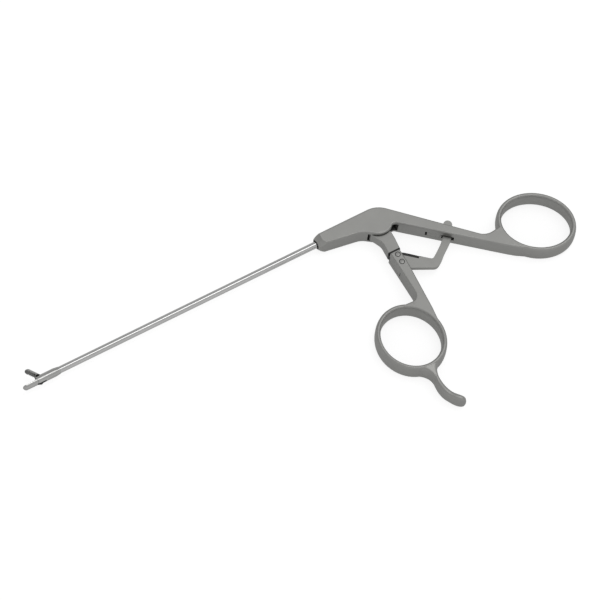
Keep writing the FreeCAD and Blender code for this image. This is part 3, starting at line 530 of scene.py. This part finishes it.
@dataclass(frozen=True)
class FingerRing(Reform):
    """Oval bar of a finger ring, dressed to flatter rims with rounded corners.

    Attributes:
        centre: the ring's centre.
        long: longer half size of its mean line.
        short: shorter half size.
        turn: degrees from +X to the longer one.
        half_width: half width of the bar.
        half_height: half height of the bar, which is also the height of its mean line.
        squareness: exponent of the dressed section on the near side.
        far_squareness: the same on the far side.
        tolerance: how far from the bar's surface a point may lie and still be on it.
        steps: steps taken to the nearest point of the mean line.
    """

    centre: tuple[float, float]
    long: float
    short: float
    turn: float
    half_width: float = 1.1
    half_height: float = 4.0
    squareness: float = 3.0
    far_squareness: float = 2.3
    tolerance: float = 0.035
    steps: int = 4

    def reform(self, places: Array) -> Array:
        """Moves the points that lie on the bar's surface out to the squarer section.

        The nearest point of the mean line comes from stepping along the line's centres of
        curvature, ((a^2 - b^2) cos^3 t / a, (b^2 - a^2) sin^3 t / b).
        """
        lean = math.radians(self.turn)
        axes = np.array([[math.cos(lean), math.sin(lean)], [-math.sin(lean), math.cos(lean)]])
        local = (places[:, :2] - np.array(self.centre)) @ axes.T
        sign, spot = np.sign(local), np.abs(local)
        half = np.array([self.long, self.short])
        gap = np.array([half[0] ** 2 - half[1] ** 2, half[1] ** 2 - half[0] ** 2]) / half
        turn = np.full_like(spot, math.sqrt(0.5))
        for _ in range(self.steps):
            core = gap * turn ** 3
            spoke, wanted = half * turn - core, spot - core
            swing = (np.linalg.norm(spoke, axis=1, keepdims=True)
                     / np.linalg.norm(wanted, axis=1, keepdims=True))
            turn = np.clip((wanted * swing + core) / half, 0, 1)
            turn /= np.linalg.norm(turn, axis=1, keepdims=True)
        mean = half * turn
        outward = mean - gap * turn ** 3
        outward /= np.linalg.norm(outward, axis=1, keepdims=True)
        across = np.sum((spot - mean) * outward, axis=1) / self.half_width
        height = places[:, 2] / self.half_height - 1
        on_bar = np.abs(np.hypot(across, height) - 1) < self.tolerance
        exponent = np.where(height > 0, self.squareness, self.far_squareness)
        growth = np.where(on_bar, squared(across, height, exponent), 1.0) - 1
        moved = places.copy()
        moved[:, :2] += sign * outward * (across * growth * self.half_width)[:, None] @ axes
        lifted = np.clip(places[:, 2] + height * growth * self.half_height,
                         0, 2 * self.half_height)
        moved[:, 2] = np.where(on_bar, lifted, places[:, 2])
        return moved


@dataclass(frozen=True)
class FingerHook(Reform):
    """Hook under the lower ring: a flared root, a straight neck, then an even bend.

    Attributes:
        root: where its centre line leaves the ring.
        neck: length of the straight part.
        bend: radius of the bend.
        flare: half width added at the root.
        flare_length: length over which the flare dies out.
        flare_power: how fast it does.
        waist: half width where it has died out.
        swell: half width further on.
        root_height: half height at the root.
        height: half height past the neck.
        level: height of the centre line.
        squareness: exponent of the dressed section.
        reach: distance across from the centre line within which a point is the hook's.
        tolerance: share of the half sizes within which it is dressed.
        dressed_from: distance below the root at which the squaring starts.
        dressed_over: length over which it reaches its full share.
        drift: how far the middle and the tip move along X, and the tip along Y.
        drift_from: distance below the root at which the move starts.
        drift_over: length over which it is taken up.
    """

    root: tuple[float, float] = (-0.94, -67.88)
    neck: float = 8.5
    bend: float = 15.0
    flare: float = 3.45
    flare_length: float = 6.3
    flare_power: float = 2.4
    waist: float = 1.15
    swell: float = 1.5
    root_height: float = 3.7
    height: float = 3.25
    level: float = 4.0
    squareness: float = 2.9
    reach: float = 5.5
    tolerance: float = 1.06
    dressed_from: float = 3.5
    dressed_over: float = 3.0
    drift: Triple = (-0.42, 0.6, -0.1)
    drift_from: float = 4.0
    drift_over: float = 16.0

    def reform(self, places: Array) -> Array:
        """Squares the hook's section and eases its curve.

        Past the neck the distance across is the bend's radius less the distance from its
        centre. The half width is waist + flare (1 - s / flare_length)^flare_power, then swells
        by a quarter sine.
        """
        hub = np.array([self.root[0] + self.bend, self.root[1] - self.neck])
        spoke = places[:, :2] - hub
        radius = np.linalg.norm(spoke, axis=1)
        straight = spoke[:, 1] > 0
        fallen = self.root[1] - places[:, 1]
        across = np.where(straight, places[:, 0] - self.root[0], self.bend - radius)
        outward = np.where(straight[:, None], np.array([1.0, 0.0]), -spoke / radius[:, None])
        lean = np.arctan2(-spoke[:, 1], -spoke[:, 0])
        reached = np.where(straight, fallen, self.neck + self.bend * lean)
        left = np.clip(1 - reached / self.flare_length, 0, 1)
        further = np.clip((reached - self.flare_length) / self.neck, 0, 1)
        wide = (self.waist + self.flare * left ** self.flare_power
                + (self.swell - self.waist) * np.sin(np.pi / 2 * further))
        near_root = np.clip(1 - reached / self.neck, 0, 1)
        tall = self.height + (self.root_height - self.height) * near_root
        side, rise = across / wide, (places[:, 2] - self.level) / tall
        beside = np.abs(across) < self.reach
        dressed = np.where(beside & (np.hypot(side, rise) < self.tolerance),
                           np.clip((fallen - self.dressed_from) / self.dressed_over, 0, 1), 0)
        growth = dressed * (squared(side, rise, self.squareness) - 1)
        moved = places.copy()
        moved[:, :2] += outward * (across * growth)[:, None]
        moved[:, 2] += (places[:, 2] - self.level) * growth
        moved[:, :2] += self.drifted(np.where(beside, fallen, 0))
        return moved

    def drifted(self, fallen: Array) -> Array:
        """Moves of the centre line at distances below the root.

        With t the share of the fall to the tip, they are drift0 sin(pi t) + drift1 t^3 along X
        and drift2 t^2 along Y.
        """
        share = np.clip((fallen - self.drift_from) / self.drift_over, 0, 1.02)
        along = (self.drift[0] * np.sin(np.pi * np.minimum(share, 1))
                 + self.drift[1] * share ** 3)
        return np.stack([along, self.drift[2] * share ** 2], axis=1)


@dataclass(frozen=True)
class RatchetElbow(Reform):
    """Elbow of the ratchet arm, dressed a little tighter.

    Attributes:
        inset: how far the elbow moves towards -X.
        lift: how far it moves towards +Y.
        start: X at which the move starts.
        width: length over which it is taken up.
        top: Y above which nothing moves, clear of the handle's window.
        depth: length below it over which the move is taken up.
    """

    inset: float = 1.2
    lift: float = 0.15
    start: float = 25.0
    width: float = 8.5
    top: float = -22.5
    depth: float = 6.0

    def reform(self, places: Array) -> Array:
        """Moves by inset and lift times the smooth steps along the width and the depth."""
        share = (eased((places[:, 0] - self.start) / self.width)
                 * eased((self.top - places[:, 1]) / self.depth))
        moved = places.copy()
        moved[:, :2] += share[:, None] * np.array([-self.inset, self.lift])
        return moved


@dataclass(frozen=True)
class ForkSeam(Reform):
    """Open seam between the fork's end and the shoulder of the drive lever.

    Attributes:
        top: where the fork ends.
        ease: length over which the opening is taken up.
        opening: how far the fork's end steps back.
        front: lowest X of the fork's end.
        rear: highest X of the fork's end.
    """

    top: float = -18.3
    ease: float = 1.0
    opening: float = 0.3
    front: float = 5.0
    rear: float = 20.0

    def reform(self, places: Array) -> Array:
        """Draws the fork's end back by the opening times the share of the way to it."""
        share = np.clip((places[:, 1] - self.top + self.ease) / self.ease, 0, 1)
        on_fork = (places[:, 0] > self.front) & (places[:, 0] < self.rear)
        moved = places.copy()
        moved[:, 1] -= np.where(on_fork, self.opening * share, 0)
        return moved


@dataclass(frozen=True)
class SubAssembly:
    """Part of the instrument that is built and dressed together.

    Attributes:
        wardrobe: the finishes.
        kept: CAD nodes that stay as they are, with their finish.
    """

    wardrobe: Wardrobe
    kept: ClassVar[dict[str, SteelFinish]] = {}

    def add(self, name: str, places: Array, faces: Sequence[Array], body: Body,
            finish: SteelFinish, crease: Crease, node: str | None = None) -> Piece:
        """Makes a smooth-shaded piece that rides on a body, and dresses it.

        Args:
            name: the piece's name.
            places: points in millimetres, one row each.
            faces: arrays of faces, each an array of vertex numbers with one row a face.
            body: the body it moves with.
            finish: the steel's finish.
            crease: how sharp an edge stays an edge.
            node: the CAD node that it stands for, if it does.

        Returns:
            The new piece.
        """
        mesh = bpy.data.meshes.new(name)
        listed = [row for block in faces for row in block.tolist()]
        mesh.from_pydata((places * MM).tolist(), [], listed)
        mesh.polygons.foreach_set("use_smooth", np.ones(len(mesh.polygons), dtype=bool))
        mesh.set_sharp_from_angle(angle=math.radians(crease.value))
        piece = bpy.data.objects.new(name, mesh)
        bpy.context.collection.objects.link(piece)
        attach(piece, body.value)
        if node is not None:
            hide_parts(node)
        return self.wardrobe.dress(piece, finish)

    def forged(self, node: str, name: str, body: Body, finish: SteelFinish,
               *reforms: Reform) -> Piece:
        """Makes a welded, smoothly shaded copy of a CAD node that keeps its creases.

        Points that round to the same thousandth of a millimetre become one vertex, and
        triangles that lose a corner by it are dropped.

        Args:
            node: the CAD node that it stands for.
            name: the piece's name.
            body: the body it moves with.
            finish: the steel's finish.
            reforms: forms that are dressed further than in the node.

        Returns:
            The new piece.
        """
        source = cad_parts[node].data
        places = np.empty(len(source.vertices) * 3)
        source.vertices.foreach_get("co", places)
        places = places.reshape(-1, 3) / MM
        corners = np.empty(len(source.loops), dtype=np.int32)
        source.loops.foreach_get("vertex_index", corners)
        _, first, merged = np.unique(
            np.round(places, 3), axis=0, return_index=True, return_inverse=True)
        triangles = merged.reshape(-1)[corners].reshape(-1, 3)
        whole = np.all(triangles != np.roll(triangles, 1, axis=1), axis=1)
        welded = places[first]
        for reform in reforms:
            welded = reform.reform(welded)
        piece = self.add(name, welded, [triangles[whole]], body, finish, Crease.COPIED, node)
        piece.modifiers.new("even_normals", "WEIGHTED_NORMAL").keep_sharp = True
        return piece

    def pieces(self) -> list[Piece]:
        """Builds and dresses the new pieces."""
        raise NotImplementedError

    def build(self) -> list[Piece]:
        """Builds the new pieces, and dresses the CAD nodes that stay; returns them all."""
        stay = [self.wardrobe.dress(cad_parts[name], finish)
                for name, finish in self.kept.items()]
        return self.pieces() + stay


@dataclass(frozen=True)
class FixedHandle(SubAssembly):
    """Fixed handle: body, arm and upper ring, with its block, hinge pin and lock pins.

    Attributes:
        ring: the upper finger ring.
    """

    kept = {"lever_pivot_pin": SATIN, "shaft_lock_pin": PIN, "ratchet_insert": SATIN,
            "insert_pin": SATIN}
    ring: FingerRing = FingerRing((68.8, -33.65), 14.87, 11.9, -40.0)

    def pieces(self) -> list[Piece]:
        """Dresses a copy of the forging."""
        return [self.forged("handle_body", "fixed_handle_forging", Body.FIXED, SATIN, self.ring)]


@dataclass(frozen=True)
class FingerLever(SubAssembly):
    """Finger lever: ring, hook and fork, the driven lever, two headed pins and the web
    that carries the ring's rims into the hook's root.

    Attributes:
        ring: the lower finger ring.
        hook: the hook under it.
        seam: the open seam at the fork's end.
        shank: radius of the pins' shanks.
        shank_lip: bevel on the end of a shank.
        rim: radius of the rounded edge of a pin's head.
        dome: how far the middle of a head stands above its edge.
        head_depth: height of a head.
        crown: radius of the flat at the top of the dome.
        crown_rows: rows of points on the dome.
        head_around: points round a pin.
        web_spread: half width that the web adds at the ring.
        web_length: length over which it dies out.
        web_inner: how far inside the ring's mean line it starts.
        web_inner_height: half height there, under the ring's rounded inner edge.
        web_rim: how far inside the mean line it reaches its full height.
        web_root_height: half height there.
        web_end_height: half height where it ends inside the hook.
        web_end_width: half width there.
        web_squareness: exponent of its section where it starts, and where it ends.
        web_rows: sections along the web.
        web_around: points round a section.
    """

    kept = {"lever_drive_pin": PIN}
    ring: FingerRing = FingerRing((-0.94, -54.0), 13.9, 12.65, 97.0)
    hook: FingerHook = FingerHook()
    seam: ForkSeam = ForkSeam()
    shank: float = 0.6
    shank_lip: float = 0.08
    rim: float = 0.16
    dome: float = 0.04
    head_depth: float = 0.45
    crown: float = 0.02
    crown_rows: int = 7
    head_around: int = 48
    web_spread: float = 4.9
    web_length: float = 7.4
    web_inner: float = 0.9
    web_inner_height: float = 2.6
    web_rim: float = 0.2
    web_root_height: float = 3.985
    web_end_height: float = 3.15
    web_end_width: float = 1.05
    web_squareness: tuple[float, float] = (4.5, 3.0)
    web_rows: int = 36
    web_around: int = 64

    def pin(self, node: str) -> Piece:
        """Turns a headed pin: shank, underside of the head, rounded rim and a shallow dome.

        The dome's height at radius r is dome times 1 - (r / flat)^2.

        Args:
            node: the CAD node that it stands for.

        Returns:
            The new piece.
        """
        low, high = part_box(node)
        base, top = low.z / MM, high.z / MM
        head = (high.x - low.x) / 2 / MM
        flat, shoulder, under = head - self.rim, top - self.dome, top - self.head_depth
        reach = np.linspace(flat, self.crown, self.crown_rows + 1)[1:]
        profile = np.concatenate([
            [(base, self.shank - self.shank_lip), (base + self.shank_lip, self.shank),
             (under, self.shank), (under, head)],
            Surface.arc((shoulder - self.rim, flat), self.rim, 90, 0),
            np.stack([shoulder + self.dome * (1 - (reach / flat) ** 2), reach], axis=1),
        ])
        middle = Vector(((low.x + high.x) / 2 / MM, (low.y + high.y) / 2 / MM, 0))
        places = Surface.lathe(profile, Vector((0, 0, 1)), middle, self.head_around)
        faces = Surface.closed_bar(len(profile), self.head_around)
        return self.add(node + "_turned", places, faces, Body.LEVER, PIN, Crease.CRISP, node)

    def web(self) -> Piece:
        """Carries an oval down the hook's centre line.

        With t the share of the way down, the half width is end + spread (1 - t)^3, the half
        height rises to the rim and then falls evenly, and so does the exponent.

        Returns:
            The new piece.
        """
        share = np.linspace(0, 1, self.web_rows)
        fallen = -self.web_inner + (self.web_length + self.web_inner) * share
        centres = np.stack([np.full_like(share, self.hook.root[0]), self.hook.root[1] - fallen,
                            np.full_like(share, self.hook.level)], axis=1)
        centres[:, :2] += self.hook.drifted(fallen)
        tall = np.interp(fallen, [-self.web_inner, -self.web_rim, self.web_length],
                         [self.web_inner_height, self.web_root_height, self.web_end_height])
        half = np.stack([self.web_end_width + self.web_spread * (1 - share) ** 3, tall], axis=1)
        sides = np.tile([-1.0, 0.0, 0.0], (self.web_rows, 1))
        squareness = np.interp(share, [0, 1], self.web_squareness)
        places = Surface.oval_bar(centres, sides, half, squareness, self.web_around)
        faces = Surface.closed_bar(self.web_rows, self.web_around)
        return self.add("hook_root_web", places, faces, Body.LEVER, SATIN, Crease.SOFT)

    def pieces(self) -> list[Piece]:
        """Dresses both levers and makes the pins and the web."""
        return [
            self.forged("ring_lever", "finger_lever_forging", Body.LEVER, SATIN,
                        self.ring, self.hook, self.seam),
            self.forged("drive_lever", "drive_lever_milled", Body.LEVER, LEVER_STEEL),
            self.pin("fork_upper_pin"),
            self.pin("ratchet_pivot_pin"),
            self.web(),
        ]


@dataclass(frozen=True)
class Ratchet(SubAssembly):
    """Ratchet: toothed arm with its thumb tab, and the thin leaf spring along its top.

    Attributes:
        elbow: the arm's elbow.
        leaf_thickness: thickness of the strip.
        leaf_width: width of the strip.
        leaf_straight: length of its level front end.
        leaf_bow: how far its sloping part stands above a straight line.
        leaf_power: power of the share by which it falls.
        leaf_squareness: exponent of its section.
        leaf_inset: how far the tip stops short in length and height, in half thicknesses.
        leaf_rows: sections along the strip.
        leaf_around: points round a section.
    """

    elbow: RatchetElbow = RatchetElbow()
    leaf_thickness: float = 0.3
    leaf_width: float = 2.0
    leaf_straight: float = 2.2
    leaf_bow: float = -0.06
    leaf_power: float = 1.15
    leaf_squareness: float = 8.0
    leaf_inset: tuple[float, float] = (0.6, 0.8)
    leaf_rows: int = 40
    leaf_around: int = 24

    def leaf(self) -> Piece:
        """Carries a flat section along the leaf.

        The line runs level, then falls to its end; the fall at share s of its length is
        s^leaf_power of the whole, less bow times sin(pi s).

        Returns:
            The new piece.
        """
        low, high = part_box("leaf_spring")
        half = self.leaf_thickness / 2
        start = np.array([low.x / MM, high.y / MM - half])
        end = np.array([high.x / MM - half * self.leaf_inset[0],
                        low.y / MM + half * self.leaf_inset[1]])
        x = np.linspace(start[0], end[0], self.leaf_rows)
        bend = start[0] + self.leaf_straight
        share = np.clip((x - bend) / (end[0] - bend), 0, 1)
        y = (start[1] + (end[1] - start[1]) * share ** self.leaf_power
             + self.leaf_bow * np.sin(np.pi * share))
        centres = np.stack([x, y, np.full_like(x, (low.z + high.z) / 2 / MM)], axis=1)
        ahead = np.gradient(centres, axis=0)
        ahead /= np.linalg.norm(ahead, axis=1, keepdims=True)
        halves = np.tile([half, self.leaf_width / 2], (self.leaf_rows, 1))
        places = Surface.oval_bar(centres, np.cross(Surface.UP, ahead), halves,
                                  np.full(self.leaf_rows, self.leaf_squareness),
                                  self.leaf_around)
        faces = Surface.closed_bar(self.leaf_rows, self.leaf_around)
        return self.add("leaf_spring_strip", places, faces, Body.RATCHET, SPRING, Crease.CRISP,
                        "leaf_spring")

    def pieces(self) -> list[Piece]:
        """Dresses the arm and makes the leaf."""
        return [
            self.forged("ratchet_arm", "ratchet_arm_milled", Body.RATCHET, SATIN, self.elbow),
            self.leaf(),
        ]


@dataclass(frozen=True)
class WorkingEnd(SubAssembly):
    """Working end: jaw housing with its fixed jaw, the hinged jaw and their two pins."""

    kept = {"jaw_pivot_pin": JAW, "jaw_drive_pin": JAW}

    def pieces(self) -> list[Piece]:
        """Dresses both jaws."""
        return [
            self.forged("jaw_housing", "jaw_housing_turned", Body.FIXED, JAW),
            self.forged("upper_jaw", "upper_jaw_milled", Body.JAW, TOOTHED),
        ]


@dataclass(frozen=True)
class Shaft(SubAssembly):
    """Slim drawn tube between nose and jaw housing, with the push rod and its yoke inside.

    Attributes:
        outer: outer radius of the tube.
        bore: inner radius.
        lip: radius of the broken edges at its ends.
        around: points round the tube.
    """

    kept = {"drive_rod": TUBE, "rod_yoke": JAW, "yoke_dowel": PIN}
    outer: float = 1.375
    bore: float = 0.875
    lip: float = 0.1
    around: int = 96

    def pieces(self) -> list[Piece]:
        """Turns the tube from a closed profile: out along the wall and back along the bore."""
        low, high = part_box("shaft_tube")
        front, rear = low.x / MM + self.lip, high.x / MM - self.lip
        wall, inside = self.outer - self.lip, self.bore + self.lip
        profile = np.concatenate([
            Surface.arc((front, wall), self.lip, 180, 90),
            Surface.arc((rear, wall), self.lip, 90, 0),
            Surface.arc((rear, inside), self.lip, 0, -90),
            Surface.arc((front, inside), self.lip, 270, 180),
        ])
        middle = Vector((0, 0, (low.z + high.z) / 2 / MM))
        places = Surface.lathe(profile, Vector((1, 0, 0)), middle, self.around)
        faces = [Surface.band(len(profile), self.around, True)]
        return [self.add("shaft_tube_drawn", places, faces, Body.FIXED, TUBE, Crease.SOFT,
                         "shaft_tube")]


@dataclass(frozen=True)
class Studio:
    """Camera, floor, lamp and surroundings.

    Attributes:
        up: the picture's up in the object's frame.
        back: from the object towards the camera.
        aim: the point at the picture's middle, in millimetres.
        distance: metres from the camera to the aim.
        width: metres that the picture spans at the aim.
        sensor: width of the camera's sensor in millimetres.
        clip: nearest and furthest metres that the camera sees.
        floor_half: half the floor's side in metres.
        floor_roughness: how matt it is.
        floor_sheen: level of its reflection.
        floor_grey: how much light the floor gives back.
        floor_white: light that the camera sees from the floor beyond its own shade.
        floor_mirrored: the same in the steel.
        lamp_heading: direction from the instrument to the lamp.
        lamp_away: metres to the lamp.
        lamp_sides: its length along X and its other side, in metres.
        lamp_radiance: how bright its face is, where 1 is white.
        zenith: strength of the surroundings overhead.
        horizon: strength of the surroundings low down.
        horizon_top: how high the low part reaches, as the sine of the elevation.
        slant: how much the surroundings gain towards +Y, and lose towards -Y.
    """

    up: Triple = (0.4177, 0.7840, 0.4592)
    back: Triple = (-0.3116, -0.3511, 0.8829)
    aim: Triple = (-26.43, -13.81, -6.585)
    distance: float = 10.5
    width: float = 0.2353
    sensor: float = 36.0
    clip: tuple[float, float] = (0.1, 40.0)
    floor_half: float = 3.0
    floor_roughness: float = 0.9
    floor_sheen: float = 0.1
    floor_grey: float = 0.32
    floor_white: float = 0.82
    floor_mirrored: float = 0.45
    lamp_heading: Triple = (0.31, 0.07, 0.95)
    lamp_away: float = 3.0
    lamp_sides: tuple[float, float] = (1.8, 0.95)
    lamp_radiance: float = 2.1
    zenith: float = 0.58
    horizon: float = 0.72
    horizon_top: float = 0.75
    slant: float = -0.12

    @staticmethod
    def stand(name: str, data: bpy.types.ID, place: Vector, axes: Sequence[Vector]) -> Piece:
        """Puts a camera or a lamp in its place, its own X, Y and Z along the axes."""
        made = bpy.data.objects.new(name, data)
        bpy.context.collection.objects.link(made)
        made.matrix_world = Matrix.Translation(place) @ Matrix(axes).transposed().to_4x4()
        return made

    def camera(self) -> None:
        """Sets the camera at the photograph's angle."""
        back = Vector(self.back).normalized()
        up = Vector(self.up)
        up = (up - back * up.dot(back)).normalized()
        data = bpy.data.cameras.new("camera")
        data.sensor_width = self.sensor
        data.lens = self.sensor * self.distance / self.width
        data.clip_start, data.clip_end = self.clip
        place = Vector(self.aim) * MM + back * self.distance
        bpy.context.scene.camera = self.stand("camera", data, place, (up.cross(back), up, back))

    def floor(self) -> None:
        """Lays a pale floor under the instrument; the camera and reflections see it white."""
        half, level = self.floor_half, CAD_BOX[0].z
        corners = [(x * half, y * half, level) for x, y in ((-1, -1), (1, -1), (1, 1), (-1, 1))]
        mesh = bpy.data.meshes.new("floor")
        mesh.from_pydata(corners, [], [(0, 1, 2, 3)])
        plane = bpy.data.objects.new("floor", mesh)
        bpy.context.collection.objects.link(plane)
        made = bpy.data.materials.new("pale_floor")
        made.use_nodes = True
        graph = Graph(made.node_tree)
        surface = made.node_tree.nodes["Principled BSDF"]
        surface.inputs["Base Color"].default_value = (*(self.floor_grey,) * 3, 1.0)
        surface.inputs["Roughness"].default_value = self.floor_roughness
        surface.inputs["Specular IOR Level"].default_value = self.floor_sheen
        path = graph.add("LightPath", {}).outputs
        seen = graph.math("MAXIMUM", path["Is Camera Ray"], path["Is Transmission Ray"])
        strength = graph.math("MULTIPLY_ADD", path["Is Glossy Ray"], self.floor_mirrored,
                              graph.math("MULTIPLY", seen, self.floor_white))
        glow = graph.add("Emission", {"Color": (1.0, 1.0, 1.0, 1.0), "Strength": strength})
        both = graph.add("AddShader", {0: surface.outputs["BSDF"], 1: glow.outputs["Emission"]})
        graph.feed(made.node_tree.nodes["Material Output"].inputs["Surface"],
                   both.outputs["Shader"])
        mesh.materials.append(made)

    def lamp(self) -> None:
        """Adds a soft box overhead that points at the instrument."""
        data = bpy.data.lights.new("overhead_box", "AREA")
        data.shape = "RECTANGLE"
        data.size, data.size_y = self.lamp_sides
        data.energy = self.lamp_radiance * math.pi * data.size * data.size_y
        back = Vector(self.lamp_heading).normalized()
        side = (Vector((1, 0, 0)) - back * back.x).normalized()
        self.stand("overhead_box", data, back * self.lamp_away, (side, back.cross(side), back))

    def world(self) -> None:
        """Pale surroundings, a little brighter low down; the camera sees them white."""
        world = bpy.data.worlds.new("studio")
        world.use_nodes = True
        graph = Graph(world.node_tree)
        sky = world.node_tree.nodes["Background"]
        sky.inputs["Color"].default_value = (1.0, 1.0, 1.0, 1.0)
        heading = graph.add("SeparateXYZ", {0: graph.add("TexCoord", {}).outputs["Generated"]})
        rise = graph.remap({"Value": heading.outputs["Z"], "From Max": self.horizon_top,
                            "To Min": self.horizon, "To Max": self.zenith}, "SMOOTHSTEP")
        leaning = graph.math("MULTIPLY_ADD", heading.outputs["Y"], self.slant, rise)
        path = graph.add("LightPath", {}).outputs
        graph.feed(sky.inputs["Strength"],
                   graph.remap({"Value": path["Is Camera Ray"], "To Min": leaning}))
        bpy.context.scene.world = world

    def build(self) -> None:
        """Sets up the whole studio."""
        bpy.context.scene.view_settings.view_transform = "Standard"
        self.camera()
        self.floor()
        self.world()
        self.lamp()


def main() -> None:
    """Builds the studio and dresses the instrument, one sub-assembly after another."""
    logging.basicConfig(level=logging.INFO, format="%(name)s: %(message)s")
    Studio().build()
    wardrobe = Wardrobe()
    for kind in (FixedHandle, FingerLever, Ratchet, WorkingEnd, Shaft):
        for piece in kind(wardrobe).build():
            LOG.info("%s: %s, %d faces, %s", kind.__name__, piece.name,
                     len(piece.data.polygons), piece.material_slots[0].material.name)


if __name__ == "__main__":
    main()
